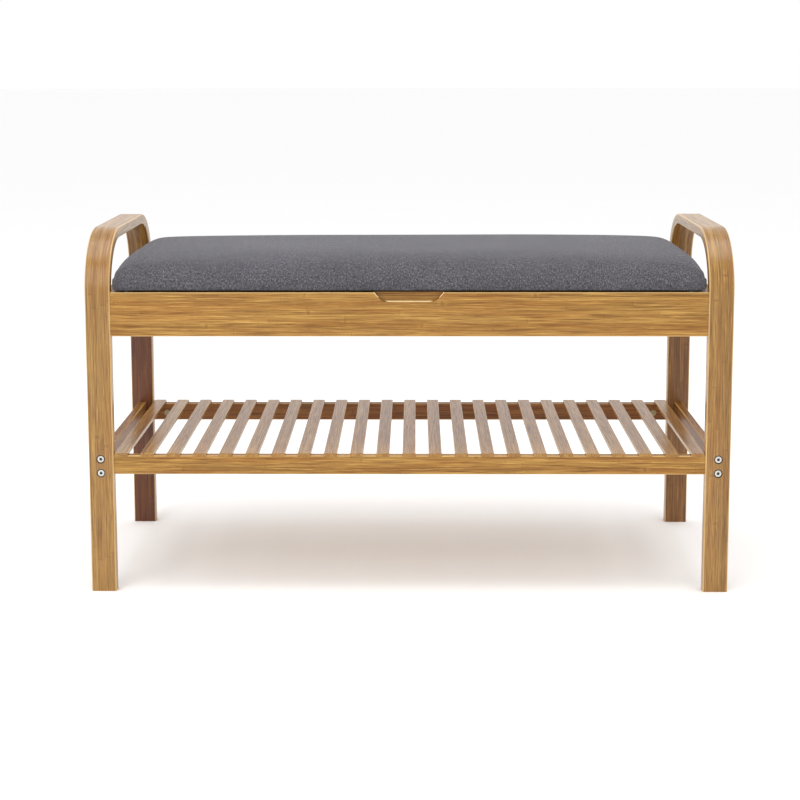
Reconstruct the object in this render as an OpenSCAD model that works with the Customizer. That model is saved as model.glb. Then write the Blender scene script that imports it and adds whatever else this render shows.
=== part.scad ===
// Entryway storage bench: two bent-laminated bamboo arches carry a slatted shelf and a
// shallow storage box. The padded lid of the box is the seat, and turns on two rear hinges.
// Frame: origin on the floor at the middle of the bench, +X to the right, +Y to the rear,
// +Z up. All sizes are in millimetres.

/* [Overall] */
// Width over the two arches
bench_w = 900; // [700:10:1200]
// Depth from front face to rear face of the legs
bench_d = 350; // [300:10:450]
// Height to the top of the armrests
bench_h = 511; // [470:1:620]

/* [Arches] */
// Width of the bent bar, seen from the front
arch_w = 35; // [30:1:50]
// Thickness of the bent bar
arch_t = 15; // [14:1:20]
// Outer radius of the two bends
bend_r = 85; // [50:5:120]
// Radius of the eased long edges of the bar
arch_ease = 2; // [1:0.5:4]

/* [Storage box] */
// Height of the lower edge of the front panel
box_z = 366; // [330:2:390]
// Height of the box panels
box_h = 62; // [50:2:110]
// Thickness of the front and back panels
panel_t = 13; // [12:1:15]
// Thickness of the two box sides
side_t = 12; // [10:1:15]
// How far the front panel stands behind the front faces of the legs
front_recess = 2; // [0:0.5:4]
// How far the back panel stands in from the rear faces of the legs
rear_recess = 5.5; // [5:0.5:8]
// Thickness of the bottom panel
bottom_t = 4; // [3:1:6]
// Width of the finger scoop at the top edge of the front panel
notch_top_w = 96; // [90:2:140]
// Width of the finger scoop at its bottom
notch_bottom_w = 76; // [40:2:90]
// Height of the finger scoop
notch_h = 12.5; // [8:0.5:20]
// How far the finger scoop cuts into the thickness of the front panel
scoop_d = 7; // [5:0.5:10]

/* [Shelf] */
// Height of the top face of the slats
slat_top = 200; // [140:2:260]
// Number of slats
slat_count = 23; // [11:2:29]
// Distance from slat to slat
slat_pitch = 36.8; // [24:0.2:60]
// Width of one slat
slat_w = 18.4; // [12:0.2:30]
// Thickness of one slat
slat_t = 5; // [4:0.5:10]
// How far the slats stand above the shelf rails
slat_proud = 3.5; // [0:0.5:3.5]
// Height of the shelf rails
rail_h = 27; // [22:1:40]
// Height of the lower side rails
side_rail_h = 41; // [40:1:60]
// Thickness of the lower side rails
side_rail_t = 12; // [12:1:16]

/* [Lid] */
// Gap between the box panels and the lid
lid_gap = 2; // [2:0.5:3]
// Side gap between the lid and each leg
lid_side_gap = 3; // [2:0.5:8]
// Thickness of the plywood board in the lid
board_t = 12; // [9:1:18]
// Thickness of the foam at its middle
foam_t = 32; // [26:1:60]
// Thickness of the fabric cover
cover_t = 1.2; // [0.8:0.1:2]

/* [Fasteners] */
// Shank radius of the frame bolts
bolt_r = 3; // [2.5:0.5:3]
// Radius of the bolt heads
bolt_head_r = 4.6; // [4:0.1:4.7]
// Radius of the barrel nuts
nut_r = 5; // [4:0.5:5]
// Radius of the wood dowels
dowel_r = 4; // [3:0.5:4]

/* [Hidden] */
$fn = 48;
overlap = 0.01;

// Legs and arches
arch_x = bench_w / 2 - arch_w / 2;
leg_inner_x = bench_w / 2 - arch_w;
leg_inner_y = bench_d / 2 - arch_t;
bend_y = bench_d / 2 - bend_r;
bend_z = bench_h - bend_r;

// Storage box
front_face_y = -bench_d / 2 + front_recess;
front_inner_y = front_face_y + panel_t;
back_face_y = bench_d / 2 - rear_recess;
back_inner_y = back_face_y - panel_t;
box_top = box_z + box_h;
box_side_x = leg_inner_x - side_t;
bottom_z = box_z + 6;
groove_d = 5;
panel_ease = 1.5;
notch_corner_r = 10;
scoop_rise = 0.5;

// Upper side rails, which carry the box between the legs
upper_rail_t = 24;
upper_rail_h = 44;
upper_rail_z = box_z + 10;
upper_rail_x = leg_inner_x + upper_rail_t / 2;

// Shelf
slat_half_l = bench_d / 2 - front_recess;
rail_top = slat_top - slat_proud;
rail_z = rail_top - rail_h;
rail_y = slat_half_l - panel_t / 2;
slat_seat_z = slat_top - slat_t;
slat_ease = 1;
slat_fit = 0.1;

// Lower side rails
side_rail_x = arch_x + 0.5;
side_rail_top = slat_top - 1;
side_rail_z = side_rail_top - side_rail_h;

// Bolts through the faces of the legs into the ends of the lower side rails
leg_bolt_z = [191.5, 171.5];
leg_bolt_l = 55;
head_h = 4;
head_sink = 4.5;
socket_r = 2.3;
socket_h = 2.6;
bolt_hole_r = bolt_r + 0.25;
sink_r = bolt_head_r + 1.1;
leg_nut_y = leg_inner_y - 28;
end_hole_l = 46;

// Bolts through the sides of the legs into the ends of the shelf rails
shelf_bolt_z = 181;
shelf_bolt_l = 60;
side_sink = 6;
side_sink_r = bolt_head_r + 0.4;
shelf_nut_x = leg_inner_x - 22;
shelf_hole_l = 34;
nut_skin = 2;

// Bolts from inside the box into threaded inserts in the upper side rails
box_bolt_y = [-105, 105];
box_bolt_z = box_z + 34;
box_bolt_l = 24;
box_head_r = 6;
box_head_h = 2.5;
box_socket_h = 1.8;
insert_r = 4.5;
insert_l = 15;

// Dowels
dowel_l = 30;
dowel_z = [box_z + 18, box_z + 44];
rail_dowel_z = [upper_rail_z + 11, upper_rail_z + 33];
rail_dowel_l = 20;

// Lid
lid_x = leg_inner_x - lid_side_gap;
lid_front_y = front_face_y + 0.5;
lid_rear_y = back_face_y - 1.5;
lid_z = box_top + lid_gap;
lid_mid_y = (lid_front_y + lid_rear_y) / 2;
lid_d = lid_rear_y - lid_front_y;
board_z = lid_z + cover_t;
foam_z = board_z + board_t;
crown_top = foam_z + foam_t + cover_t;
corner_r = 14;
cover_return = 24;
dust_t = 0.6;
// Rings that shape the crown: inset from the sides, drop from the top, corner radius
crown = [[0, 22, corner_r], [5, 10, 24], [15, 4, 40], [60, 0, 60]];

// Hinges
hinge_x = 280;
hinge_l = 60;
knuckle_r = 2.5;
hinge_y = back_face_y + knuckle_r + 0.3;
hinge_z = box_top + lid_gap / 2;
leaf_t = 0.95;
leaf_l = 15.5;
knuckle_gap = 0.3;
knuckle_count = 5;
knuckle_pitch = hinge_l / knuckle_count;
knuckle_l = knuckle_pitch - knuckle_gap;
pin_r = 1.2;
pin_bore_r = 1.25;
screw_x = [-20, 20];
screw_y = back_face_y - 7;
screw_r = 1.4;
screw_head_r = 2.6;
screw_l = 11;

// Rubber pads that the lid closes on
bumper_x = 392;
bumper_r = 4;
bumper_h = lid_gap - 0.1;

bamboo = "#c89a5b";
bamboo_dark = "#b98a4d";
steel = "#b9bcc0";
zinc = "#c9c7bd";

SLATS = [for (i = [1 : slat_count]) str("slat_", i < 10 ? "0" : "", i)];

// ---------- shared shapes ----------

// Flat rectangle centred on the origin, with round corners of radius r
module round_rect(w, h, r) {
    square([w - 2 * r, h], center = true);
    square([w, h - 2 * r], center = true);
    for (x = [-1, 1], y = [-1, 1])
        translate([x * (w / 2 - r), y * (h / 2 - r)]) circle(r);
}

// Board along X, centred in X and Y, standing on z = 0, with eased long edges
module board_x(l, t, h, r = panel_ease)
    translate([0, 0, h / 2]) rotate([90, 0, 90])
        linear_extrude(l, center = true) round_rect(t, h, r);

// Board along Y, centred in X and Y, standing on z = 0, with eased long edges
module board_y(l, t, h, r = panel_ease)
    translate([0, 0, h / 2]) rotate([90, 0, 0])
        linear_extrude(l, center = true) round_rect(t, h, r);

// Round bar of length l that starts at the origin and runs along +X or +Y
module rod_x(r, l) rotate([0, 90, 0]) cylinder(r = r, h = l);
module rod_y(r, l) rotate([-90, 0, 0]) cylinder(r = r, h = l);

// Bolt whose head starts at the origin and whose shank runs along +Y
module socket_bolt(l) {
    difference() {
        rod_y(bolt_head_r, head_h);
        translate([0, -overlap, 0]) rotate([-90, 0, 0]) cylinder(r = socket_r, h = socket_h, $fn = 6);
    }
    translate([0, head_h - overlap, 0]) rod_y(bolt_r, l + overlap);
}

// Countersunk wood screw that points down, the top of its head at z = 0
module wood_screw() {
    translate([0, 0, -leaf_t]) cylinder(r1 = screw_r, r2 = screw_head_r, h = leaf_t);
    translate([0, 0, -screw_l]) cylinder(r = screw_r, h = screw_l - leaf_t + overlap);
}

// ---------- arches ----------

// Bent bar of one arch, centred on x = 0
module arch_bar() {
    leg_y = bench_d / 2 - arch_t / 2;
    for (y = [-1, 1]) translate([0, y * leg_y, 0])
        linear_extrude(bend_z) round_rect(arch_w, arch_t, arch_ease);
    translate([0, 0, bench_h - arch_t / 2]) rotate([90, 0, 0])
        linear_extrude(2 * bend_y, center = true) round_rect(arch_w, arch_t, arch_ease);
    for (turn = [0, 180]) rotate([0, 0, turn])
        translate([0, bend_y, bend_z]) rotate([90, 0, 90])
            rotate_extrude(angle = 90, $fn = 96)
                translate([bend_r - arch_t / 2, 0]) round_rect(arch_t, arch_w, arch_ease);
}

// Holes of the bolts and dowels in the leg at the front; the rear leg has the same ones
module leg_holes(inner_side) {
    for (z = leg_bolt_z) translate([side_rail_x * -inner_side, -bench_d / 2, z]) {
        translate([0, -1, 0]) rod_y(bolt_hole_r, arch_t + 2);
        translate([0, -1, 0]) rod_y(sink_r, head_sink + 1);
    }
    for (z = rail_dowel_z) translate([upper_rail_x * -inner_side, -leg_inner_y, z])
        translate([0, -rail_dowel_l / 2 - 0.5, 0]) rod_y(dowel_r, rail_dowel_l / 2 + 1.5);
    translate([-inner_side * bench_w / 2, -rail_y, shelf_bolt_z])
        rotate([0, 0, inner_side > 0 ? 0 : 180]) {
            translate([-1, 0, 0]) rod_x(bolt_hole_r, arch_w + 2);
            translate([-1, 0, 0]) rod_x(side_sink_r, side_sink + 1);
        }
}

module left_arch() color(bamboo) difference() {
    translate([-arch_x, 0, 0]) arch_bar();
    leg_holes(1);
    mirror([0, 1, 0]) leg_holes(1);
}

module right_arch() color(bamboo) difference() {
    translate([arch_x, 0, 0]) arch_bar();
    leg_holes(-1);
    mirror([0, 1, 0]) leg_holes(-1);
}

// ---------- side rails ----------

// Lower side rail between the legs, with bolt holes in its ends and cross holes for the nuts
module lower_side_rail(side) difference() {
    translate([side * side_rail_x, 0, side_rail_z])
        board_y(2 * leg_inner_y, side_rail_t, side_rail_h);
    for (z = leg_bolt_z, y = [-1, 1]) {
        translate([side * side_rail_x, y * (leg_inner_y - end_hole_l / 2 + 1), z])
            translate([0, -end_hole_l / 2, 0]) rod_y(bolt_hole_r, end_hole_l);
        translate([side * side_rail_x - side_rail_t / 2 - 1, y * leg_nut_y, z])
            rod_x(nut_r, side_rail_t + 2);
    }
}

module left_lower_side_rail() color(bamboo_dark) lower_side_rail(-1);
module right_lower_side_rail() color(bamboo_dark) lower_side_rail(1);

// Upper side rail beside the box, doweled into both legs, with holes for the inserts
module upper_side_rail(side) difference() {
    translate([side * upper_rail_x, 0, upper_rail_z])
        board_y(2 * leg_inner_y, upper_rail_t, upper_rail_h);
    for (z = rail_dowel_z, y = [-1, 1])
        translate([side * upper_rail_x, y * leg_inner_y, z])
            translate([0, -rail_dowel_l / 2 - 0.5, 0]) rod_y(dowel_r, rail_dowel_l + 1);
    for (y = box_bolt_y) translate([side * (leg_inner_x + insert_l / 2), y, box_bolt_z])
        translate([-insert_l / 2 - 1, 0, 0]) rod_x(insert_r, insert_l + 2);
}

module left_upper_side_rail() color(bamboo_dark) upper_side_rail(-1);
module right_upper_side_rail() color(bamboo_dark) upper_side_rail(1);

// ---------- shelf ----------

// Rail that carries the slat ends; side is -1 for the front rail and 1 for the rear one
module shelf_rail(side) difference() {
    translate([0, side * rail_y, rail_z]) board_x(2 * leg_inner_x, panel_t, rail_h);
    for (i = [1 : slat_count]) translate([slat_x(i), side * rail_y, slat_seat_z])
        linear_extrude(slat_t + 1)
            square([slat_w + 2 * slat_fit, panel_t + 2], center = true);
    for (x = [-1, 1]) {
        translate([x * (leg_inner_x - shelf_hole_l / 2 + 1), side * rail_y, shelf_bolt_z])
            translate([-shelf_hole_l / 2, 0, 0]) rod_x(bolt_hole_r, shelf_hole_l);
        translate([x * shelf_nut_x, side * rail_y - panel_t / 2, shelf_bolt_z])
            translate([0, side < 0 ? nut_skin : -1, 0]) rod_y(nut_r, panel_t - nut_skin + 1);
    }
}

module shelf_front_rail() color(bamboo) shelf_rail(-1);
module shelf_rear_rail() color(bamboo_dark) shelf_rail(1);

// Place of slat i across the bench; the middle slat is at x = 0
function slat_x(i) = (i - (slat_count + 1) / 2) * slat_pitch;

// Slat i, let into both rails with its ends flush with their outer faces
module slat(i) color(bamboo)
    translate([slat_x(i), 0, slat_seat_z]) board_y(2 * slat_half_l, slat_w, slat_t, slat_ease);

// ---------- storage box ----------

// Front panel between the legs, with a finger scoop under the edge of the lid
module box_front_panel() color(bamboo) difference() {
    translate([0, front_face_y + panel_t / 2, box_z]) board_x(2 * leg_inner_x, panel_t, box_h);
    finger_scoop();
    panel_groove();
    box_dowel_holes();
}

// Cutter with an upright back, a ledge that drains forward, sloped ends and round lower corners,
// which the arcs touch smoothly
module finger_scoop() intersection() {
    slope = (notch_top_w - notch_bottom_w) / 2;
    end_angle = atan2(notch_h, slope);
    tangent_l = notch_corner_r * tan(end_angle / 2);
    bottom_x = notch_bottom_w / 2;
    translate([0, front_inner_y, box_top]) rotate([90, 0, 0])
        linear_extrude(panel_t + 1) for (side = [0, 1]) mirror([side, 0]) {
            polygon([[-1, 1], [notch_top_w / 2 + slope / notch_h, 1],
                [bottom_x + tangent_l * cos(end_angle), tangent_l * sin(end_angle) - notch_h],
                [bottom_x - tangent_l, -notch_h], [-1, -notch_h]]);
            translate([bottom_x - tangent_l, notch_corner_r - notch_h]) circle(notch_corner_r);
        }
    translate([0, front_face_y, box_top - notch_h]) rotate([90, 0, 90])
        linear_extrude(notch_top_w + 4, center = true)
            polygon([[-1, -scoop_rise / scoop_d], [-1, notch_h + 1],
                [scoop_d, notch_h + 1], [scoop_d, scoop_rise]]);
}

// Groove for the bottom panel, in the inner faces of all four sides of the box
module panel_groove() translate([0, (front_inner_y + back_inner_y) / 2, bottom_z])
    linear_extrude(bottom_t)
        square([2 * (box_side_x + groove_d), back_inner_y - front_inner_y + 2 * groove_d],
            center = true);

// Dowels that join the ends of the box sides to the front and back panels
module box_dowel_set(l, r) for (x = [-1, 1], z = dowel_z) {
    translate([x * (leg_inner_x - side_t / 2), front_inner_y - 9, z]) rod_y(r, l);
    translate([x * (leg_inner_x - side_t / 2), back_inner_y + 9 - l, z]) rod_y(r, l);
}

module box_dowel_holes() box_dowel_set(dowel_l, dowel_r);

module box_back_panel() color(bamboo_dark) difference() {
    translate([0, back_face_y - panel_t / 2, box_z]) board_x(2 * leg_inner_x, panel_t, box_h);
    panel_groove();
    box_dowel_holes();
    for (x = [-1, 1], s = screw_x)
        translate([x * hinge_x + s, screw_y, box_top + leaf_t - screw_l])
            cylinder(r = screw_r, h = screw_l);
}

// Side of the box between the front and back panels
module box_side(side) difference() {
    translate([side * (leg_inner_x - side_t / 2), (front_inner_y + back_inner_y) / 2, box_z])
        board_y(back_inner_y - front_inner_y, side_t, box_h);
    panel_groove();
    box_dowel_holes();
    for (y = box_bolt_y) translate([side * (leg_inner_x - side_t / 2), y, box_bolt_z])
        translate([-side_t / 2 - 1, 0, 0]) rod_x(bolt_hole_r, side_t + 2);
}

module box_left_side() color(bamboo_dark) box_side(-1);
module box_right_side() color(bamboo_dark) box_side(1);

module box_bottom_panel() color("#d9b988")
    translate([0, (front_inner_y + back_inner_y) / 2, bottom_z + 0.1])
        linear_extrude(bottom_t - 0.2)
            square([2 * (box_side_x + groove_d) - 1, back_inner_y - front_inner_y + 2 * groove_d - 1],
                center = true);

// ---------- lid ----------

// Flat plate with round corners, inset all round by d, from height z to z + h
module lid_plate(d, z, h, r = corner_r)
    translate([0, lid_mid_y, z]) linear_extrude(h)
        round_rect(2 * (lid_x - d), lid_d - 2 * d, max(r - d, 1));

// Crowned outline of the cushion from height z up, inset by d on every outer face
module cushion_form(d, z) hull() {
    lid_plate(d + 1, z, overlap);
    for (ring = crown) lid_plate(d + ring[0], crown_top - ring[1] - d, overlap, ring[2]);
}

module seat_board() color("#caa472") difference() {
    lid_plate(cover_t + 1, board_z, board_t);
    for (x = [-1, 1], s = screw_x)
        translate([x * hinge_x + s, screw_y, lid_z - leaf_t]) cylinder(r = screw_r, h = screw_l);
}

module seat_foam() color("#efe6cf") cushion_form(cover_t, foam_z);

// Cover over the foam and round the edge of the board, turned in under the board
module seat_cover() color("#66656d") difference() {
    cushion_form(0, lid_z);
    cushion_form(cover_t, foam_z - overlap);
    lid_plate(cover_t + 1, board_z, board_t + overlap);
    lid_plate(cover_return, lid_z - 1, cover_t + 2);
    for (x = [-1, 1], s = screw_x)
        translate([x * hinge_x + s, screw_y, lid_z - 1]) cylinder(r = screw_r, h = cover_t + 2);
}

// Thin lining that hides the underside of the board
module dust_cover() color("#2c2c2e")
    lid_plate(cover_return + 0.5, board_z - dust_t, dust_t);

// ---------- hinges ----------

// Knuckles from first to last, every second one, with the bore for the pin
module knuckles(first) for (k = [first : 2 : knuckle_count - 1])
    translate([-hinge_l / 2 + k * knuckle_pitch + knuckle_gap / 2, 0, 0]) rod_x(knuckle_r, knuckle_l);

// One leaf with its knuckles; up is 1 for the leaf under the lid and -1 for the one on the box
module hinge_leaf(up, first) difference() {
    union() {
        knuckles(first);
        difference() {
            translate([-hinge_l / 2, -leaf_l, up > 0 ? 1 - leaf_t : -1])
                cube([hinge_l, leaf_l, leaf_t]);
            for (k = [1 - first : 2 : knuckle_count - 1])
                translate([-hinge_l / 2 + k * knuckle_pitch - knuckle_gap / 2 - overlap, 0, 0])
                    rod_x(knuckle_r + 0.4, knuckle_l + 2 * knuckle_gap + 2 * overlap);
        }
    }
    translate([-hinge_l / 2 - 1, 0, 0]) rod_x(pin_bore_r, hinge_l + 2);
    for (s = screw_x) translate([s, screw_y - hinge_y, up > 0 ? 1 - leaf_t : -1])
        mirror([0, 0, up > 0 ? 1 : 0]) translate([0, 0, up > 0 ? -leaf_t : 0])
            cylinder(r1 = screw_r, r2 = screw_head_r, h = leaf_t);
}

module place_hinge(side) translate([side * hinge_x, hinge_y, hinge_z]) children();

module left_hinge_frame_leaf() color(steel) place_hinge(-1) hinge_leaf(-1, 0);
module right_hinge_frame_leaf() color(steel) place_hinge(1) hinge_leaf(-1, 0);
module left_hinge_lid_leaf() color(steel) place_hinge(-1) hinge_leaf(1, 1);
module right_hinge_lid_leaf() color(steel) place_hinge(1) hinge_leaf(1, 1);

module hinge_pins() color(steel) for (side = [-1, 1]) place_hinge(side)
    translate([-hinge_l / 2, 0, 0]) rod_x(pin_r, hinge_l);

// Screws down into the back panel
module hinge_frame_screws() color(zinc) for (x = [-1, 1], s = screw_x)
    translate([x * hinge_x + s, screw_y, box_top + leaf_t]) wood_screw();

// Screws up through the cover into the board of the lid
module hinge_lid_screws() color(zinc) for (x = [-1, 1], s = screw_x)
    translate([x * hinge_x + s, screw_y, lid_z - leaf_t]) mirror([0, 0, 1]) wood_screw();

// ---------- fasteners ----------

module leg_bolts() color(zinc) for (x = [-1, 1], z = leg_bolt_z, turn = [0, 180])
    rotate([0, 0, turn]) translate([x * side_rail_x, head_sink - head_h - bench_d / 2, z])
        socket_bolt(leg_bolt_l - head_h);

module leg_barrel_nuts() color(zinc) for (x = [-1, 1], y = [-1, 1], z = leg_bolt_z)
    translate([x * side_rail_x, y * leg_nut_y, z]) difference() {
        translate([-side_rail_t / 2 + 0.5, 0, 0]) rod_x(nut_r, side_rail_t - 1);
        translate([0, -nut_r - 1, 0]) rod_y(bolt_r, 2 * nut_r + 2);
    }

module shelf_bolts() color(zinc) for (x = [-1, 1], y = [-1, 1])
    translate([x * (bench_w / 2 - side_sink + head_h), y * rail_y, shelf_bolt_z])
        rotate([0, 0, x > 0 ? 90 : -90]) socket_bolt(shelf_bolt_l - head_h);

// The blind cross holes open at the inner faces of the rails, where the nuts show
module shelf_barrel_nuts() color(zinc) for (x = [-1, 1], y = [-1, 1])
    translate([x * shelf_nut_x, y * rail_y, shelf_bolt_z]) difference() {
        translate([0, -panel_t / 2 + (y < 0 ? nut_skin : 0.4), 0]) rod_y(nut_r, panel_t - nut_skin - 0.4);
        translate([-nut_r - 1, 0, 0]) rod_x(bolt_r, 2 * nut_r + 2);
    }

module box_bolts() color(zinc) for (x = [-1, 1], y = box_bolt_y)
    translate([x * (box_side_x - box_head_h), y, box_bolt_z]) mirror([x < 0 ? 1 : 0, 0, 0]) {
        difference() {
            rod_x(box_head_r, box_head_h);
            translate([-overlap, 0, 0]) rotate([0, 90, 0]) cylinder(r = socket_r, h = box_socket_h, $fn = 6);
        }
        rod_x(bolt_r, box_bolt_l + box_head_h);
    }

module box_inserts() color(zinc) for (x = [-1, 1], y = box_bolt_y)
    translate([x * (leg_inner_x + insert_l / 2), y, box_bolt_z]) difference() {
        translate([-insert_l / 2, 0, 0]) rod_x(insert_r, insert_l);
        translate([-insert_l / 2 - 1, 0, 0]) rod_x(bolt_r, insert_l + 2);
    }

module box_dowels() color("#e0c190") box_dowel_set(dowel_l, dowel_r);

module upper_rail_dowels() color("#e0c190")
    for (x = [-1, 1], y = [-1, 1], z = rail_dowel_z)
        translate([x * upper_rail_x, y * leg_inner_y, z])
            translate([0, -rail_dowel_l / 2, 0]) rod_y(dowel_r, rail_dowel_l);

module lid_bumpers() color("#3a3a3a") for (x = [-1, 1])
    translate([x * bumper_x, front_face_y + panel_t / 2, box_top]) cylinder(r = bumper_r, h = bumper_h);

// ---------- drawing ----------

left_arch();
right_arch();
left_lower_side_rail();
right_lower_side_rail();
left_upper_side_rail();
right_upper_side_rail();
shelf_front_rail();
shelf_rear_rail();
box_front_panel();
box_back_panel();
box_left_side();
box_right_side();
box_bottom_panel();
seat_board();
seat_foam();
seat_cover();
dust_cover();
left_hinge_frame_leaf();
right_hinge_frame_leaf();
left_hinge_lid_leaf();
right_hinge_lid_leaf();
hinge_pins();
hinge_frame_screws();
hinge_lid_screws();
leg_bolts();
leg_barrel_nuts();
shelf_bolts();
shelf_barrel_nuts();
box_bolts();
box_inserts();
box_dowels();
upper_rail_dowels();
lid_bumpers();
for (i = [1 : slat_count])
    slat(i);
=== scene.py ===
"""Looks of the entryway storage bench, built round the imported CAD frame. Units are metres."""
import math

import bpy
import numpy as np
from mathutils import Matrix, Vector


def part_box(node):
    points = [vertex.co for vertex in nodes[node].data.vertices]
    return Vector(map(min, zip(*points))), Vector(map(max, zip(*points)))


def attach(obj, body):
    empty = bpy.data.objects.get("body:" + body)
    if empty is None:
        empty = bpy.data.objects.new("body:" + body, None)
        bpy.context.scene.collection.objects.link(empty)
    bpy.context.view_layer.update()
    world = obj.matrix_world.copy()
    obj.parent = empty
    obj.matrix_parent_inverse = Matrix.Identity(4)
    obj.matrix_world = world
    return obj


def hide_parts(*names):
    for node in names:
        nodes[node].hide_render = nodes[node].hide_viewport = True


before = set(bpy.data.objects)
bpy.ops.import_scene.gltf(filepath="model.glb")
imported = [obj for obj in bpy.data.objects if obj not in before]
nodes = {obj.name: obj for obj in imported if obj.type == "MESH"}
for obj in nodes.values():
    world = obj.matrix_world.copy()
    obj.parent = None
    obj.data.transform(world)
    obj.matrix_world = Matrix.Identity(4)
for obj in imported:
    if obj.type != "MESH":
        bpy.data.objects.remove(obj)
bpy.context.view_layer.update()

# ---------- sizes ----------

# Places read from the frame
_, ARCH_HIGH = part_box("right_arch")
LID_LOW, LID_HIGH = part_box("seat_cover")
LEG_BOLTS_LOW, LEG_BOLTS_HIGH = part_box("leg_bolts")
SHELF_BOLTS_LOW, SHELF_BOLTS_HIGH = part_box("shelf_bolts")
PANEL_LOW, PANEL_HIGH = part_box("box_front_panel")

# Radius of the bolt heads that are sunk in the legs
HEAD_R = 0.0046

# Bent bar of an arch: its thickness, the outer radius of its bends, the centre of the bends, and
# half the bar's length along its outer face
BAR_T = 0.015
BEND_R = 0.085
BEND_Y = ARCH_HIGH.y - BEND_R
BEND_Z = ARCH_HIGH.z - BEND_R
HALF_BAR_L = BEND_Z + BEND_R * math.pi / 2 + BEND_Y

# Finger scoop: half its width at the bottom, the height of its bottom, the lean of its ends from
# upright, about the radius of its lower corners, half the width of the painted highlight on its rim where
# that is full and where it ends, and the depth where the painted highlight stops, just short of the back
SCOOP_X = 0.038
SCOOP_Z = PANEL_HIGH.z - 0.0125
SCOOP_LEAN = math.atan2(10, 12.5)
SCOOP_R = 0.0085
SCOOP_HIGHLIGHT_W = (0.0004, 0.0010)
SCOOP_HIGHLIGHT_BACK = PANEL_LOW.y + 0.006


# ---------- camera, light and floor ----------

CAMERA_PLACE = Vector((0.0090, -2.2923, 0.7469))
CAMERA_PITCH = math.radians(7.0)
CAMERA_YAW = math.radians(-0.55)
CAMERA_ROLL = math.radians(-0.09)
CAMERA_SENSOR = 36
CAMERA_LENS = 69.64
CAMERA_SHIFT = (-0.00075, -0.187)

FLOOR_R = 40.0
FLOOR_SIDES = 96


def make_camera():
    """A studio camera in front of the bench, above the armrests, that looks slightly down."""
    forward = math.cos(CAMERA_PITCH)
    look = Vector((math.sin(CAMERA_YAW) * forward, math.cos(CAMERA_YAW) * forward, -math.sin(CAMERA_PITCH)))
    level = Vector((math.cos(CAMERA_YAW), -math.sin(CAMERA_YAW), 0))
    up = level.cross(look)
    right = level * math.cos(CAMERA_ROLL) + up * math.sin(CAMERA_ROLL)
    up = up * math.cos(CAMERA_ROLL) - level * math.sin(CAMERA_ROLL)
    turn = Matrix((right, up, -look)).transposed().to_4x4()
    camera = bpy.data.objects.new("camera", bpy.data.cameras.new("camera"))
    camera.matrix_world = Matrix.Translation(CAMERA_PLACE) @ turn
    camera.data.sensor_width = CAMERA_SENSOR
    camera.data.lens = CAMERA_LENS
    camera.data.shift_x, camera.data.shift_y = CAMERA_SHIFT
    bpy.context.scene.collection.objects.link(camera)
    bpy.context.scene.camera = camera


def make_light(name, place, target, size, power):
    """A square softbox at place that points at target."""
    lamp = bpy.data.lights.new(name, "AREA")
    lamp.size = size
    lamp.energy = power
    thing = bpy.data.objects.new(name, lamp)
    thing.location = place
    thing.rotation_euler = (Vector(target) - Vector(place)).to_track_quat("-Z", "Y").to_euler()
    bpy.context.scene.collection.objects.link(thing)


def make_lights():
    """A large key light at the front left, and a softbox high beyond each end of the bench, which
    gives the bends of the arches their highlights."""
    make_light("key", place=(-1.5, -2.7, 1.7), target=(0, 0, 0.35), size=2.0, power=24)
    for side in (-1, 1):
        make_light("top", place=(0.8 * side, -0.35, 2.4), target=(0.5 * side, -0.15, 0.4),
                   size=1.3, power=15)


def make_world(strength):
    """An even white surround."""
    world = bpy.data.worlds.new("studio")
    world.use_nodes = True
    background = world.node_tree.nodes["Background"]
    background.inputs["Color"].default_value = (1, 1, 1, 1)
    background.inputs["Strength"].default_value = strength
    bpy.context.scene.world = world


# ---------- shader helper ----------

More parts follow.
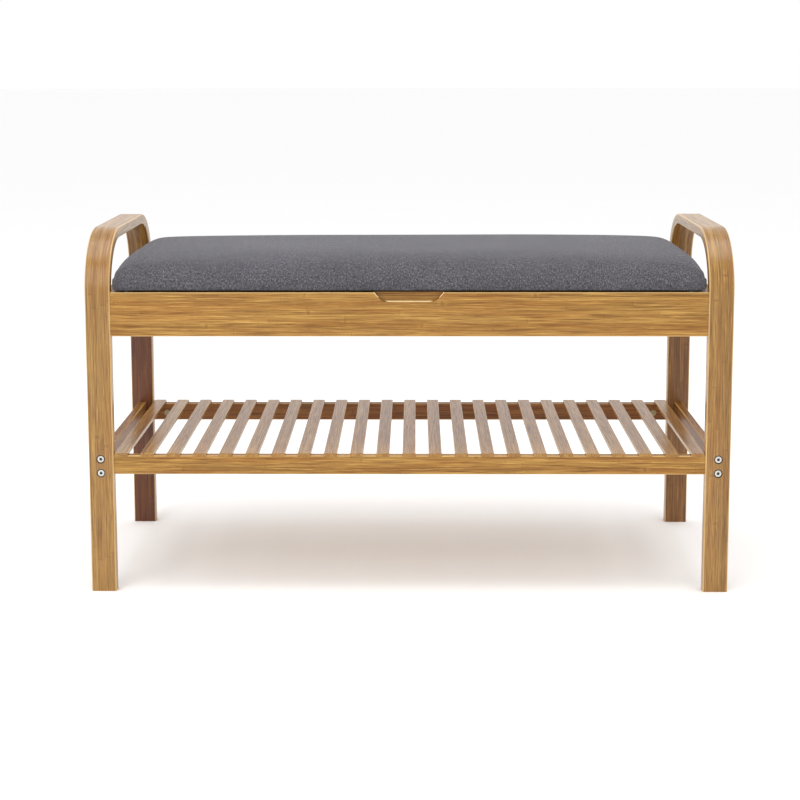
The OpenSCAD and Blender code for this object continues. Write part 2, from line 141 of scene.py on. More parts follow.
class Shader:
    """Node tree of one material, with a short call for each kind of node it needs."""

    def __init__(self, name):
        self.material = bpy.data.materials.new(name)
        self.material.use_nodes = True
        self.tree = self.material.node_tree
        self.bsdf = self.tree.nodes["Principled BSDF"]
        self.texture_coordinates = self.tree.nodes.new("ShaderNodeTexCoord")

    def link(self, value, socket):
        """Puts a number or a colour in a socket, or links another node's output to it."""
        if isinstance(value, bpy.types.NodeSocket):
            self.tree.links.new(value, socket)
        else:
            socket.default_value = value

    def add(self, kind, inputs, output=0, **settings):
        """Adds a node with these inputs and settings, and returns one of its outputs."""
        node = self.tree.nodes.new(kind)
        for key, value in settings.items():
            setattr(node, key, value)
        for key, value in inputs.items():
            self.link(value, node.inputs[key])
        return node.outputs[output]

    def math(self, operation, *values):
        return self.add("ShaderNodeMath", dict(enumerate(values)), operation=operation)

    def plus(self, a, b):
        return self.math("ADD", a, b)

    def minus(self, a, b):
        return self.math("SUBTRACT", a, b)

    def times(self, a, b):
        return self.math("MULTIPLY", a, b)

    def over(self, a, b):
        return self.math("DIVIDE", a, b)

    def absolute(self, a):
        return self.math("ABSOLUTE", a)

    def xyz(self, name="Object"):
        """The three coordinates, in metres, in the piece's own space, or its normal."""
        node = self.tree.nodes.new("ShaderNodeSeparateXYZ")
        self.tree.links.new(self.texture_coordinates.outputs[name], node.inputs[0])
        return node.outputs[0], node.outputs[1], node.outputs[2]

    def vector(self, x, y, z):
        return self.add("ShaderNodeCombineXYZ", {0: x, 1: y, 2: z})

    def noise(self, place, scale, detail=2.0, roughness=0.5):
        """Noise at a place, with about this many features per unit along each of its three axes."""
        place = [axis if k == 1 else self.times(axis, k) for axis, k in zip(place, scale)]
        inputs = {"Vector": self.vector(*place), "Scale": 1.0, "Detail": detail, "Roughness": roughness}
        return self.add("ShaderNodeTexNoise", inputs)

    def random(self, x, y, z):
        """Three random values from 0 to 1 that are the same all over one whole-number cell."""
        colour = self.add("ShaderNodeTexWhiteNoise", {"Vector": self.vector(x, y, z)}, 1)
        node = self.tree.nodes.new("ShaderNodeSeparateColor")
        self.tree.links.new(colour, node.inputs[0])
        return node.outputs[0], node.outputs[1], node.outputs[2]

    def range(self, value, low, high, to_low=0.0, to_high=1.0, smooth=True):
        """Maps low to to_low and high to to_high, and stays level beyond them."""
        inputs = {0: value, 1: low, 2: high, 3: to_low, 4: to_high}
        kind = "SMOOTHSTEP" if smooth else "LINEAR"
        return self.add("ShaderNodeMapRange", inputs, interpolation_type=kind, clamp=True)

    def mix(self, factor, a, b, blend="MIX"):
        """Colour a where factor is 0 and colour b where it is 1."""
        node = self.tree.nodes.new("ShaderNodeMix")
        node.data_type = "RGBA"
        node.blend_type = blend
        self.link(factor, node.inputs[0])
        self.link(a, node.inputs[6])
        self.link(b, node.inputs[7])
        return node.outputs[2]

    def multiply_blend(self, factor, colour, by):
        """The colour where factor is 0, and the colour times another one where it is 1."""
        return self.mix(factor, colour, self.mix(1.0, colour, by, "MULTIPLY"))

    def darken(self, colour, amount):
        """Colour times (1 - amount)."""
        keep = self.minus(1.0, amount)
        return self.add("ShaderNodeVectorMath", {0: colour, "Scale": keep}, operation="SCALE")

    def bump(self, height, distance, strength):
        """Height runs from 0 to 1 over distance metres."""
        normal = self.add("ShaderNodeBump", {"Height": height, "Distance": distance, "Strength": strength})
        self.tree.links.new(normal, self.bsdf.inputs["Normal"])

    def set(self, **sockets):
        """Sets the principled shader's sockets, named with underscores for spaces."""
        for key, value in sockets.items():
            self.link(value, self.bsdf.inputs[key.replace("_", " ")])
        return self.material


def colour(red, green, blue):
    """Linear colour from the 0 to 255 values that a picture shows."""
    linear = [((v / 255 + 0.055) / 1.055) ** 2.4 if v > 10 else v / 3294.6 for v in (red, green, blue)]
    return (*linear, 1.0)


def away_from(s, a, centre_a, b, centre_b):
    """Distance from a line, through its centres along two axes."""
    offset_a, offset_b = s.minus(a, centre_a), s.minus(b, centre_b)
    return s.math("SQRT", s.plus(s.times(offset_a, offset_a), s.times(offset_b, offset_b)))


# ---------- bamboo ----------

# Width and thickness of a strip, and the length of one piece of cane in it
STRIP_W = 0.0062
STRIP_T = STRIP_W * 1.07
SEGMENT_L = 0.36

# How far the fibres sway and the node marks wander, and the depth of the grain's relief
FIBRE_SWAY = 0.0022
NODE_WANDER = 0.007
GRAIN_DEPTH = 0.00018

# Shift across the grain that gives the rear half of a bent bar other strips than its front half
HALF_BAR_SHIFT = 0.31

# Where the mask of a rounded edge starts and is full: the product of the surface normal's two
# parts across the edge, which is 0.5 halfway round
EDGE_START = 0.08
EDGE_FULL = 0.42

# How far past a sunk bolt head its painted shade is full, and where the painted shade ends
LEG_HOLE_SHADE = (0.0012, 0.0018)
SHELF_HOLE_SHADE = (0.0005, 0.0010)

DARK_CANE = colour(144, 104, 46)
PALE_CANE = colour(176, 134, 68)
RUDDY_CANE = colour(156, 101, 41)
DARK_FIBRE = colour(102, 62, 21)
PALE_FIBRE = colour(214, 170, 92)
VESSEL = colour(84, 48, 18)
NODE_HALO = colour(200, 156, 78)
NODE_LINE = colour(92, 56, 22)
EDGE_HIGHLIGHT_AND_WEAR = colour(236, 200, 138)
PAINTED_RIM_HIGHLIGHT = colour(250, 222, 168)
BOLT_HOLE_SHADE = colour(44, 26, 14)
BROWNER_TONE = colour(188, 150, 132)
INNER_TONE_AND_SHADE = colour(152, 112, 66)


def eased_edge(s, edge_axis):
    """Mask of the rounded long edges: 0 on the flat faces, 1 where the surface turns between them."""
    normal = s.xyz("Normal")
    if edge_axis == "bar":
        first = s.absolute(normal[0])
        second = s.math("SQRT", s.minus(1.0, s.times(first, first)))
    else:
        first, second = [normal[i] for i in range(3) if "xyz"[i] != edge_axis]
    return s.range(s.absolute(s.times(first, second)), EDGE_START, EDGE_FULL)


def cane_marks(s, along, across, depth):
    """What the laminated cane shows at a point: values from 0 to 1, by name."""
    # The strip, and the length of cane in it, that the point belongs to
    strip = s.over(across, STRIP_W)
    layer = s.over(depth, STRIP_T)
    strip_cell = s.math("FLOOR", strip)
    layer_cell = s.math("FLOOR", layer)
    shift, strip_tone, _ = s.random(strip_cell, layer_cell, 0.5)
    run = s.plus(s.over(along, SEGMENT_L), s.times(shift, 5.0))
    segment = s.math("FLOOR", run)
    within = s.math("FRACT", run)
    tone, node_place, node_force = s.random(strip_cell, layer_cell, segment)

    # Fibres: fine streaks, short dark vessel marks and slow changes of colour along the cane
    wobble = s.noise((across, depth, along), (90, 90, 14))
    swayed = s.plus(across, s.times(s.minus(wobble, 0.5), FIBRE_SWAY))
    streak = s.noise((swayed, depth, along), (640, 640, 17), 4, 0.65)
    vessel = s.noise((swayed, depth, along), (1500, 1500, 34))
    cloud = s.noise((swayed, depth, along), (75, 75, 4), 3)
    dash = s.range(vessel, 0.56, 0.74)

    # Node marks, where the cane's joints were, and the butt joints between lengths of cane
    ragged = s.noise((across, depth, along), (500, 500, 90), 3)
    offset = s.minus(within, s.range(node_place, 0.0, 1.0, 0.15, 0.85, False))
    far = s.times(s.absolute(offset), SEGMENT_L)
    far = s.plus(far, s.times(s.minus(ragged, 0.5), NODE_WANDER))
    force = s.range(node_force, 0.35, 0.9)
    knuckle = s.times(s.range(far, 0.0004, 0.0032, 1.0, 0.0), force)
    halo = s.times(s.range(far, 0.002, 0.011, 1.0, 0.0), force)
    end = s.math("MINIMUM", within, s.minus(1.0, within))
    joint = s.range(s.times(end, SEGMENT_L), 0.00015, 0.0005, 1.0, 0.0)

    # Glue lines between strips
    edge_u = s.absolute(s.minus(s.math("FRACT", strip), 0.5))
    edge_v = s.absolute(s.minus(s.math("FRACT", layer), 0.5))
    glue = s.range(s.math("MAXIMUM", edge_u, edge_v), 0.455, 0.495)

    shade = s.plus(s.times(tone, 0.55), s.times(strip_tone, 0.45))
    return {"shade": shade, "streak": streak, "dash": dash, "cloud": cloud, "knuckle": knuckle,
            "halo": halo, "joint": joint, "glue": glue}


def cane_colour(s, marks):
    """Colour of the clean cane, from the tone of each length to the lines between the strips."""
    streak = marks["streak"]
    wood = s.mix(s.range(marks["shade"], 0.1, 0.9), DARK_CANE, PALE_CANE)
    wood = s.mix(s.range(marks["cloud"], 0.35, 0.7, 0.0, 0.55), wood, RUDDY_CANE)
    wood = s.mix(s.range(streak, 0.46, 0.68, 0.0, 0.75), wood, DARK_FIBRE)
    wood = s.mix(s.range(streak, 0.46, 0.30, 0.0, 0.6), wood, PALE_FIBRE)
    wood = s.mix(s.times(marks["dash"], 0.5), wood, VESSEL)
    wood = s.mix(s.times(marks["halo"], 0.15), wood, NODE_HALO)
    wood = s.mix(s.times(marks["knuckle"], 0.38), wood, NODE_LINE)
    return s.darken(wood, s.plus(s.times(marks["glue"], 0.16), s.times(marks["joint"], 0.30)))


def bamboo(name, place, edge_axis, brown=0.0, coat=0.35, inner=None, sunk=None, scoop=None):
    """Varnished bamboo laminated from narrow strips. place(shader) gives the coordinates along
    the grain, across it and through the thickness. edge_axis is the axis that the rounded edges
    run along, or "bar" for the bent bar; those edges get a painted highlight with some pale wear.
    brown from 0 to 1 makes it browner and darker. The last three are functions of the shader that
    give 0 to 1 masks: inner of the faces that are painted browner and darker than the rest, sunk
    of the painted shade in the holes for the bolt heads, and scoop of the painted highlight on the
    finger scoop's rim."""
    s = Shader(name)
    marks = cane_marks(s, *place(s))
    wood = cane_colour(s, marks)
    if brown:
        wood = s.multiply_blend(brown, wood, BROWNER_TONE)
    # inner faces painted browner and darker, with painted shade below the seat
    if inner:
        wood = s.multiply_blend(inner(s), wood, INNER_TONE_AND_SHADE)
    # pale rounded edges: painted highlight, with some pale wear
    wood = s.mix(s.times(eased_edge(s, edge_axis), 0.5), wood, EDGE_HIGHLIGHT_AND_WEAR)
    # painted highlight on the finger scoop's rim
    if scoop:
        wood = s.mix(s.times(scoop(s), 0.8), wood, PAINTED_RIM_HIGHLIGHT)
    # painted shade in the holes round the sunk bolt heads
    if sunk:
        wood = s.mix(s.times(sunk(s), 0.9), wood, BOLT_HOLE_SHADE)

    raised = s.plus(s.times(marks["streak"], 0.5), s.times(marks["knuckle"], 0.4))
    lowered = s.plus(s.times(marks["dash"], 0.3), s.times(marks["glue"], 0.3))
    s.bump(s.minus(raised, lowered), GRAIN_DEPTH, 0.6)
    gloss = s.plus(s.range(marks["streak"], 0.3, 0.7, 0.36, 0.47), s.times(marks["dash"], 0.12))
    return s.set(Base_Color=wood, Roughness=gloss, IOR=1.5, Specular_IOR_Level=0.1,
                 Coat_Weight=coat, Coat_Roughness=0.27)


def grain_x(s):
    x, y, z = s.xyz()
    return x, z, y


def grain_y_upright(s):
    x, y, z = s.xyz()
    return y, z, x


def grain_y_flat(s):
    """For slats, whose strips lie side by side across the bench and change from slat to slat."""
    x, y, z = s.xyz()
    return y, x, z


def grain_bar(s):
    """Along the bent bar from the top of the armrest, across its width, and inward from its
    outer face."""
    x, y, z = s.xyz()
    side_y = s.absolute(y)
    past_y = s.math("MAXIMUM", s.minus(side_y, BEND_Y), 0.0)
    past_z = s.math("MAXIMUM", s.minus(z, BEND_Z), 0.0)
    inward = s.minus(BEND_R, away_from(s, past_y, 0.0, past_z, 0.0))
    turned = s.times(s.math("ARCTAN2", past_z, past_y), BEND_R)
    climbed = s.plus(s.math("MINIMUM", z, BEND_Z), turned)
    level = s.minus(BEND_Y, s.math("MINIMUM", side_y, BEND_Y))
    along = s.times(s.math("SIGN", y), s.minus(HALF_BAR_L, s.plus(climbed, level)))
    return along, s.plus(x, s.times(s.math("SIGN", y), HALF_BAR_SHIFT)), inward


def bar_inner_tone_and_shade(s):
    """The inner face of the bent bar, painted browner and darker, more so on the left arch, and with
    painted shade below the seat."""
    x, _, z = s.xyz()
    _, _, inward = grain_bar(s)
    inner_darkening = s.range(inward, BAR_T - 0.0012, BAR_T - 0.0004)
    inner_darkening = s.times(inner_darkening, s.range(x, -0.1, 0.1, 1.0, 0.62))
    # painted shade below the seat
    return s.times(inner_darkening, s.range(z, LID_LOW.z - 0.03, LID_LOW.z + 0.03, 1.0, 0.45))


def painted_scoop_highlight(s):
    """Painted highlight on the rim of the finger scoop: a trapezium with round lower corners below the
    panel's top.
    """
    x, y, z = s.xyz()
    beyond_x, above_z = s.minus(s.absolute(x), SCOOP_X), s.minus(z, SCOOP_Z)
    below = s.minus(SCOOP_Z, z)
    beside = s.minus(s.times(beyond_x, math.cos(SCOOP_LEAN)), s.times(above_z, math.sin(SCOOP_LEAN)))
    corner = [s.math("MAXIMUM", s.plus(gap, SCOOP_R), 0.0) for gap in (below, beside)]
    reach = away_from(s, corner[0], 0.0, corner[1], 0.0)
    rim = s.range(s.absolute(s.minus(reach, SCOOP_R)), *SCOOP_HIGHLIGHT_W, 1.0, 0.0)
    front = s.range(y, SCOOP_HIGHLIGHT_BACK, SCOOP_HIGHLIGHT_BACK + 0.0005, 1.0, 0.0)
    return s.times(rim, front)


def painted_bolt_hole_shade(s):
    """Painted shade on the rims and walls of the holes that the bolt heads are sunk in."""
    x, y, z = s.xyz()
    side_x, side_y = s.absolute(x), s.absolute(y)
    leg_x = LEG_BOLTS_HIGH.x - HEAD_R
    upper = away_from(s, side_x, leg_x, z, LEG_BOLTS_HIGH.z - HEAD_R)
    lower = away_from(s, side_x, leg_x, z, LEG_BOLTS_LOW.z + HEAD_R)
    shelf_z = (SHELF_BOLTS_LOW.z + SHELF_BOLTS_HIGH.z) / 2
    shelf = away_from(s, side_y, SHELF_BOLTS_HIGH.y - HEAD_R, z, shelf_z)
    shades = [s.range(reach, HEAD_R + full, HEAD_R + end, 1.0, 0.0)
              for reach, (full, end) in ((s.math("MINIMUM", upper, lower), LEG_HOLE_SHADE), (shelf, SHELF_HOLE_SHADE))]
    return s.math("MAXIMUM", *shades)


# ---------- other materials ----------

# How dark the painted shade in the socket and on the sides of a bolt head is, and how far behind the
# head's face it is full and where it ends
SOCKET_SHADE = 0.88
SOCKET_SHADE_FADE = (0.0009, 0.0003)

# Tints of the plated metals
STEEL = (0.40, 0.41, 0.43, 1)
BRIGHT_ZINC = (0.62, 0.61, 0.58, 1)
YELLOW_ZINC = (0.34, 0.27, 0.15, 1)

# Width of a yarn, the depth of the weave, and how far up its side painted shade darkens the cushion
YARN = 0.00085
WEAVE_DEPTH = 0.00035
SHADED_H = 0.014


def plywood(name):
    """Pale rotary-cut veneer with long wavy grain along X."""
    s = Shader(name)
    x, y, z = s.xyz()
    swirl = s.noise((x, y, z), (5, 22, 60), 3)
    rings = s.math("FRACT", s.times(swirl, 9.0))
    band = s.range(s.absolute(s.minus(rings, 0.5)), 0.1, 0.5)
    pores = s.noise((x, y, z), (60, 1400, 1400))
    wood = s.mix(band, colour(214, 184, 140), colour(194, 158, 112))
    wood = s.mix(s.range(pores, 0.55, 0.75, 0.0, 0.4), wood, colour(150, 112, 70))
    plies = s.math("FRACT", s.times(z, 500))
    wood = s.darken(wood, s.range(plies, 0.4, 0.6, 0.0, 0.06))
    s.bump(pores, 0.00012, 0.5)
    return s.set(Base_Color=wood, Roughness=s.range(pores, 0.3, 0.7, 0.55, 0.72))


def beech(name):
    """Plain pale wood with short flecks."""
    s = Shader(name)
    fleck = s.noise(s.xyz(), (1200, 220, 1200), 3)
    wood = s.mix(s.range(fleck, 0.4, 0.7), colour(222, 190, 148), colour(178, 134, 90))
    s.bump(fleck, 0.0001, 0.5)
    return s.set(Base_Color=wood, Roughness=s.range(fleck, 0.3, 0.7, 0.5, 0.65))


def metal(name, tint, smoothest, roughest, scratches=(900, 900, 900), face=None):
    """Plated steel with fine scratches and faint blotches in the plating. face gives the axis of
    a bolt and how far out its head's face is: behind that, in the socket and on the sides of the head, the
    metal is darkened by painted shade."""
    s = Shader(name)
    x, y, z = s.xyz()
    scratch = s.noise((x, y, z), scratches, 4, 0.65)
    blotch = s.noise((x, y, z), (260, 260, 260))
    dull = tuple(0.72 * v for v in tint[:3]) + (1.0,)
    plate = s.mix(s.range(blotch, 0.35, 0.75, 0.0, 0.6), tint, dull)
    # painted shade in the socket and on the sides of the head
    if face:
        reach = s.absolute((x, y, z)["xyz".index(face[0])])
        full, end = [face[1] - gap for gap in SOCKET_SHADE_FADE]
        plate = s.darken(plate, s.range(reach, full, end, SOCKET_SHADE, 0.0))
    s.bump(scratch, 0.00003, 0.5)
    return s.set(Base_Color=plate, Metallic=1.0, Roughness=s.range(scratch, 0.3, 0.7, smoothest, roughest))


def rubber(name):
    """Matt black rubber with a fine grit."""
    s = Shader(name)
    grit = s.noise(s.xyz(), (3000, 3000, 3000), 3)
    skin = s.mix(grit, colour(34, 34, 35), colour(58, 58, 60))
    s.bump(grit, 0.00005, 0.6)
    return s.set(Base_Color=skin, Roughness=s.range(grit, 0.3, 0.7, 0.6, 0.8))


def lining(name):
    """Thin black non-woven cloth with a pressed dot pattern and stray fibres."""
    s = Shader(name)
    x, y, z = s.xyz()
    dot_x, dot_y = [s.minus(s.math("FRACT", s.times(axis, 550)), 0.5) for axis in (x, y)]
    dots = s.plus(s.times(dot_x, dot_x), s.times(dot_y, dot_y))
    pressed = s.range(dots, 0.03, 0.10, 1.0, 0.0)
    fibre = s.noise((x, y, z), (1900, 300, 300), 3)
    cloth = s.mix(s.range(fibre, 0.35, 0.75), colour(30, 30, 32), colour(62, 62, 65))
    cloth = s.darken(cloth, s.times(pressed, 0.4))
    s.bump(s.minus(fibre, pressed), 0.0002, 0.7)
    return s.set(Base_Color=cloth, Roughness=0.85, Sheen_Weight=0.2, Sheen_Roughness=0.5)


def fabric_lie(s):
    """Place on the fabric as if it lay flat. The yarns run on from the top over the front, the
    rear and the ends, because the drop below the crown is added to the position."""
    x, y, z = s.xyz()
    normal_x, normal_y, _ = s.xyz("Normal")
    drop = s.minus(LID_HIGH.z, z)
    steep_x, steep_y = s.absolute(normal_x), s.absolute(normal_y)
    total = s.plus(s.plus(steep_x, steep_y), 0.001)
    u, v = [s.plus(axis, s.times(s.math("SIGN", axis), s.times(drop, s.over(steep, total))))
            for axis, steep in ((x, steep_x), (y, steep_y))]
    return u, v


def grey_fabric(name):
    """Heathered plain weave that follows the surface of the cushion."""
    s = Shader(name)
    _, _, z = s.xyz()
    u, v = fabric_lie(s)

    # Plain weave: in every other cell the weft is over the warp
    row, column = s.over(v, YARN), s.over(u, YARN)
    row_cell, column_cell = s.math("FLOOR", row), s.math("FLOOR", column)
    row_bow = s.math("SINE", s.times(s.math("FRACT", row), math.pi))
    column_bow = s.math("SINE", s.times(s.math("FRACT", column), math.pi))
    parity = s.math("FRACT", s.times(s.plus(row_cell, column_cell), 0.5))
    weft_up = s.math("GREATER_THAN", parity, 0.25)
    warp_up = s.minus(1.0, weft_up)
    weft = s.times(row_bow, s.plus(0.35, s.times(column_bow, 0.65)))
    warp = s.times(column_bow, s.plus(0.35, s.times(row_bow, 0.65)))
    height = s.plus(s.times(weft, weft_up), s.times(warp, warp_up))

    # Each yarn has its own run of dark and pale fibres. A bare number in a place is a seed.
    weft_tone = s.noise((u, row_cell, 0.0), (190, 7.3, 1), 3, 0.7)
    warp_tone = s.noise((column_cell, v, 4.0), (5.7, 190, 1), 3, 0.7)
    blend = s.plus(s.times(weft_tone, weft_up), s.times(warp_tone, warp_up))
    cloud = s.noise((u, v, 2.0), (26, 26, 1), 4, 0.65)
    heather = s.noise((u, v, 7.0), (560, 300, 1), 3, 0.65)
    broad = s.noise((u, v, 3.0), (8, 12, 1))
    cloth = s.mix(s.range(blend, 0.30, 0.72), colour(57, 55, 60), colour(117, 115, 121))
    cloth = s.mix(s.range(blend, 0.62, 0.78, 0.0, 0.5), cloth, colour(176, 174, 180))
    cloth = s.mix(s.range(heather, 0.52, 0.70, 0.0, 0.50), cloth, colour(172, 170, 176))
    cloth = s.mix(s.range(heather, 0.48, 0.30, 0.0, 0.66), cloth, colour(42, 41, 45))
    cloth = s.darken(cloth, s.range(broad, 0.35, 0.65, 0.09, 0.0))
    # painted shade along the bottom of the cushion's side
    cloth = s.darken(cloth, s.range(z, LID_LOW.z, LID_LOW.z + SHADED_H, 0.16, 0.0))
    # painted shade in the hollows between the yarns
    cloth = s.darken(cloth, s.range(height, 0.0, 0.55, 0.42, 0.0))
    cloth = s.darken(cloth, s.range(cloud, 0.3, 0.7, 0.10, 0.0))
    s.bump(height, WEAVE_DEPTH, 0.7)
    return s.set(
        Base_Color=cloth, Roughness=s.range(blend, 0.3, 0.7, 0.88, 0.78), Specular_IOR_Level=0.25,
        Sheen_Weight=0.36, Sheen_Roughness=0.18, Sheen_Tint=(0.88, 0.88, 0.92, 1.0))


def floor_white(name):
    """Matt white studio floor with the faintest mottling."""
    s = Shader(name)
    mottle = s.noise(s.xyz(), (3, 3, 1))
    white = s.mix(mottle, (0.965, 0.965, 0.965, 1), (0.975, 0.975, 0.975, 1))
    return s.set(Base_Color=white, Roughness=0.9)


# ---------- shape helpers ----------

def add_piece(name, points, faces, material, smooth=True):
    """A mesh object in the shared frame."""
    mesh = bpy.data.meshes.new(name)
    mesh.from_pydata([tuple(p) for p in points], [], faces)
    mesh.update()
    piece = bpy.data.objects.new(name, mesh)
    bpy.context.scene.collection.objects.link(piece)
    mesh.materials.append(material)
    mesh.polygons.foreach_set("use_smooth", [smooth] * len(mesh.polygons))
    return piece


def apply_modifiers(piece):
    """Replaces the piece's mesh by its evaluated one and drops its modifiers."""
    depsgraph = bpy.context.evaluated_depsgraph_get()
    mesh = bpy.data.meshes.new_from_object(piece.evaluated_get(depsgraph))
    piece.modifiers.clear()
    piece.data = mesh


# ---------- seat cushion ----------

# Outline: half its length and depth, its middle, the radius of its corners, and the grid's step.
# The fabric stands a little past the ends of the CAD cover.
PAD_X = (LID_HIGH.x - LID_LOW.x) / 2 + 0.0022
PAD_Y = (LID_HIGH.y - LID_LOW.y) / 2
PAD_MID_Y = (LID_HIGH.y + LID_LOW.y) / 2
PAD_CORNER = 0.014
PAD_STEP = 0.005
BASE_Z = LID_LOW.z

# Side of the cushion from the turned-in edge up: inset from the outline at the ends and at the
# front and rear, height above the base, and how firmly the board holds the fabric there
SIDE_RINGS = [
    (0.0240, 0.0240, 0.0012, 1.0), (0.0232, 0.0232, 0.0001, 1.0), (0.0150, 0.0150, 0.0000, 1.0),
    (0.0060, 0.0060, 0.0000, 1.0), (0.0022, 0.0022, 0.0002, 1.0), (0.0006, 0.0006, 0.0012, 1.0),
    (0.0000, 0.0000, 0.0035, 1.0), (0.0000, 0.0000, 0.0080, 1.0), (0.0000, 0.0000, 0.0135, 1.0),
    (0.0004, 0.0002, 0.0148, 0.9), (0.0018, 0.0006, 0.0160, 0.8), (0.0030, 0.0010, 0.0172, 0.7),
    (0.0034, 0.0013, 0.0195, 0.5), (0.0040, 0.0018, 0.0230, 0.3)]
TOP_HOLD = 0.12

# Crown: its height above the shoulders, how far in from the ends it turns down and how round
# that turn is, and how full it is from its middle to the front and to the rear
CROWN_H = 0.0228
END_TURN = 0.032
END_ROUNDNESS = 2.2
FRONT_FULLNESS = 5.0
REAR_FULLNESS = 2.5

# Worn foam on the crown: an even swell that fades within these distances of the ends and of the
# front and rear, low waves in it, and a rise in the middle
SWELL_H = 0.0020
SWELL_FADE_X = 0.045
SWELL_FADE_Y = 0.030
WAVE_H = 0.0006
MIDDLE_H = 0.0020

# Inflation: the pressure, the most that a point may move, and the number of steps
PRESSURE = 4.0
MOST_PUFF = 0.012
PUFF_FRAMES = 20


def outline_point(px, py, inset_x, inset_y):
    """Maps a point of the flat rectangle (each coordinate from -1 to 1) to the pad's outline
    shape, inset at its ends and at its front and rear, with its corners made round."""
    half_x, half_y = PAD_X - inset_x, PAD_Y - inset_y
    inset = (inset_x + inset_y) / 2
    radius = max(PAD_CORNER - inset, 0.004) + 0.010 * min(inset / 0.03, 1.0)
    x, y = px * half_x, py * half_y
    over_x, over_y = abs(x) - (half_x - radius), abs(y) - (half_y - radius)
    if over_x > 0 and over_y > 0:
        shrink = max(over_x, over_y) / math.hypot(over_x, over_y)
        x = math.copysign(half_x - radius + over_x * shrink, x)
        y = math.copysign(half_y - radius + over_y * shrink, y)
    return x, y


def crown_height(x, y):
    """Height of the foam above the base at a flat position: a dome from front to rear that is
    fuller at the front, round shoulders at the ends, and the slight waves of worn foam."""
    inset_x, inset_y, shoulder, _ = SIDE_RINGS[-1]
    in_x, in_y = max(PAD_X - inset_x - abs(x), 0), max(PAD_Y - inset_y - abs(y), 0)
    end_turn = math.sqrt(1 - (1 - min(in_x / END_TURN, 1)) ** END_ROUNDNESS)
    fullness = FRONT_FULLNESS if y < 0 else REAR_FULLNESS
    dome = math.sqrt(max(1 - (abs(y) / (PAD_Y - inset_y)) ** fullness, 0))
    swell = (1 - math.exp(-in_x / SWELL_FADE_X)) * (1 - math.exp(-in_y / SWELL_FADE_Y))
    middle = (1 - (x / PAD_X) ** 8) * (1 - (y / PAD_Y) ** 2)
    waves = math.sin(5 * x) + 0.7 * math.sin(19 * x + 1.3) * math.cos(23 * y - 0.6)
    return shoulder + CROWN_H * end_turn * dome + (SWELL_H + WAVE_H * waves) * swell + MIDDLE_H * middle


def build_cushion(material):
    """Closed cushion: grid on top, rings down the side, and a flat bottom above the lining."""
    count_x, count_y = round(2 * PAD_X / PAD_STEP), round(2 * PAD_Y / PAD_STEP)
    cells = [(i, j) for j in range(count_y) for i in range(count_x)]
    rim = [(i, 0) for i in range(count_x)] + [(count_x, j) for j in range(count_y)]
    rim += [(i, count_y) for i in range(count_x, 0, -1)] + [(0, j) for j in range(count_y, 0, -1)]
    points, faces, hold = [], [], []

    def add_point(i, j, inset_x, inset_y, height, firm):
        """Adds the point over place i, j of the grid, on the crown if height is None."""
        x, y = outline_point(2 * i / count_x - 1, 2 * j / count_y - 1, inset_x, inset_y)
        rise = crown_height(x, y) if height is None else height
        points.append((x, PAD_MID_Y + y, BASE_Z + rise))
        hold.append(firm)
        return len(points) - 1

    crown_ring = (*SIDE_RINGS[-1][:2], None, TOP_HOLD)
    top = {(i, j): add_point(i, j, *crown_ring) for j in range(count_y + 1) for i in range(count_x + 1)}
    faces += [(top[i, j], top[i + 1, j], top[i + 1, j + 1], top[i, j + 1]) for i, j in cells]
    upper = [top[place] for place in rim]
    for ring in SIDE_RINGS[-2::-1]:
        lower = [add_point(i, j, *ring) for i, j in rim]
        for k in range(len(rim)):
            n = (k + 1) % len(rim)
            faces.append((upper[n], upper[k], lower[k], lower[n]))
        upper = lower
    bottom = dict(zip(rim, upper))
    for j in range(1, count_y):
        for i in range(1, count_x):
            bottom[i, j] = add_point(i, j, *SIDE_RINGS[0])
    faces += [(bottom[i, j], bottom[i, j + 1], bottom[i + 1, j + 1], bottom[i + 1, j]) for i, j in cells]

    cushion = add_piece("seat_cushion", points, faces, material)
    group = cushion.vertex_groups.new(name="held")
    for index, firm in enumerate(hold):
        group.add([index], firm, "REPLACE")
    return cushion


def puff_up(cushion):
    """Inflates the fabric over the foam by cloth simulation."""
    scene = bpy.context.scene
    start = np.array([v.co for v in cushion.data.vertices], float)
    cloth = cushion.modifiers.new("cloth", "CLOTH")
    cloth.settings.quality = 6
    cloth.settings.mass = 0.25
    cloth.settings.tension_stiffness = 18
    cloth.settings.compression_stiffness = 18
    cloth.settings.shear_stiffness = 8
    cloth.settings.bending_stiffness = 0.8
    cloth.settings.vertex_group_mass = "held"
    cloth.settings.pin_stiffness = 1.0
    cloth.settings.use_pressure = True
    cloth.settings.uniform_pressure_force = PRESSURE
    cloth.settings.effector_weights.gravity = 0
    cloth.point_cache.frame_start = 1
    cloth.point_cache.frame_end = PUFF_FRAMES
    scene.frame_start, scene.frame_end = 1, PUFF_FRAMES
    for number in range(1, PUFF_FRAMES + 1):
        scene.frame_set(number)
    apply_modifiers(cushion)
    end = np.array([v.co for v in cushion.data.vertices], float)
    move = end - start
    length = np.linalg.norm(move, axis=1, keepdims=True)
    end = start + move * np.minimum(1, MOST_PUFF / np.maximum(length, 1e-9))
    cushion.data.vertices.foreach_set("co", end.ravel())
    scene.frame_set(1)


def make_cushion(material):
    """The padded seat: built, inflated, smoothed and put on the lid in place of its CAD solids."""
    cushion = build_cushion(material)
    puff_up(cushion)
    subdivision = cushion.modifiers.new("smooth", "SUBSURF")
    subdivision.levels = subdivision.render_levels = 1
    apply_modifiers(cushion)
    cushion.data.polygons.foreach_set("use_smooth", [True] * len(cushion.data.polygons))
    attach(cushion, "lid")
    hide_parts("seat_foam", "seat_cover")


# ---------- scene ----------

def give(material, *names):
    """Puts one material on CAD nodes."""
    for name in names:
        slots = nodes[name].data.materials
        slots.clear()
        slots.append(material)


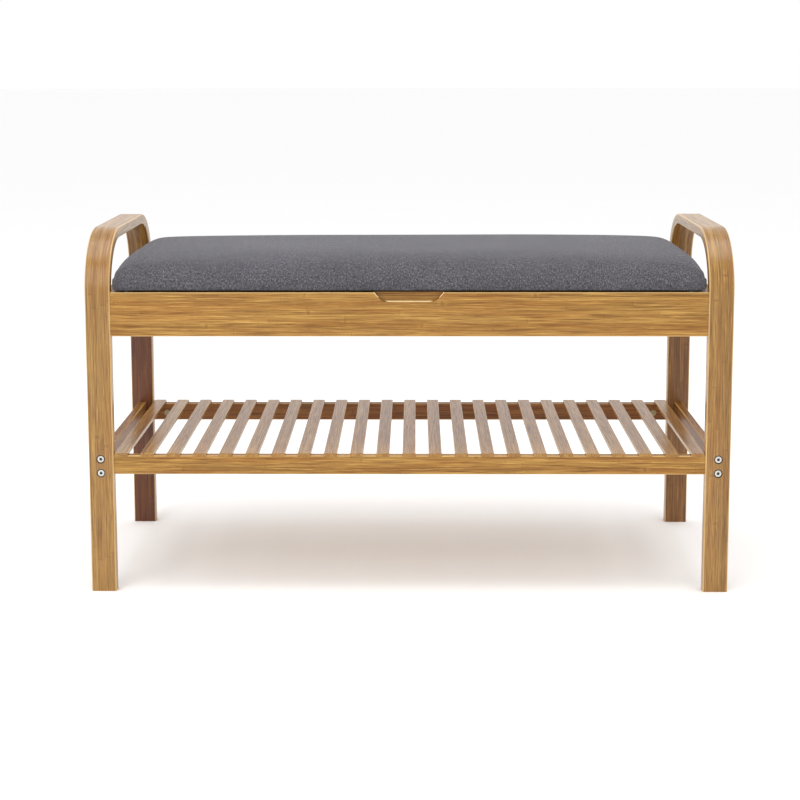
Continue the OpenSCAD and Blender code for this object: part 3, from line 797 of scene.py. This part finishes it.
def finish_wood():
    """Materials of the bamboo, plywood and beech nodes."""
    give(bamboo("bamboo_arch", grain_bar, "bar", coat=0.85, inner=bar_inner_tone_and_shade, sunk=painted_bolt_hole_shade),
         "left_arch", "right_arch")
    give(bamboo("bamboo_along_x", grain_x, "x"), "box_back_panel", "shelf_front_rail")
    give(bamboo("bamboo_front_panel", grain_x, "x", scoop=painted_scoop_highlight), "box_front_panel")
    give(bamboo("bamboo_rear_rail", grain_x, "x", brown=0.8), "shelf_rear_rail")
    give(bamboo("bamboo_side", grain_y_upright, "y", brown=0.5, coat=0.2),
         "left_lower_side_rail", "right_lower_side_rail", "left_upper_side_rail", "right_upper_side_rail",
         "box_left_side", "box_right_side")
    give(bamboo("bamboo_slat", grain_y_flat, "y", coat=0.8),
         *[name for name in nodes if name.startswith("slat_")])
    give(plywood("plywood"), "box_bottom_panel", "seat_board")
    give(beech("beech"), "box_dowels", "upper_rail_dowels")


def finish_fittings():
    """Materials of the lining, rubber and metal nodes."""
    give(lining("lining"), "dust_cover")
    give(rubber("rubber"), "lid_bumpers")
    give(metal("hinge_steel", STEEL, 0.26, 0.40, (300, 2500, 2500)),
         "left_hinge_frame_leaf", "right_hinge_frame_leaf", "left_hinge_lid_leaf", "right_hinge_lid_leaf",
         "hinge_pins", "hinge_frame_screws", "hinge_lid_screws")
    give(metal("bright_zinc_leg_bolts", BRIGHT_ZINC, 0.22, 0.36, face=("y", LEG_BOLTS_HIGH.y)), "leg_bolts")
    give(metal("bright_zinc_shelf_bolts", BRIGHT_ZINC, 0.22, 0.36, face=("x", SHELF_BOLTS_HIGH.x)),
         "shelf_bolts")
    give(metal("bright_zinc", BRIGHT_ZINC, 0.22, 0.36), "box_bolts")
    give(metal("yellow_zinc", YELLOW_ZINC, 0.30, 0.44),
         "leg_barrel_nuts", "shelf_barrel_nuts", "box_inserts")


def make_floor():
    """A wide disc, so that every view ends in the same white."""
    turns = [2 * math.pi * k / FLOOR_SIDES for k in range(FLOOR_SIDES)]
    ring = [(FLOOR_R * math.cos(turn), FLOOR_R * math.sin(turn), 0) for turn in turns]
    floor = add_piece("floor", ring, [tuple(range(FLOOR_SIDES))], floor_white("floor_white"), smooth=False)


bpy.context.scene.view_settings.view_transform = "Standard"
make_camera()
make_world(1.0)
make_lights()
make_floor()
finish_wood()
finish_fittings()
make_cushion(grey_fabric("grey_fabric"))
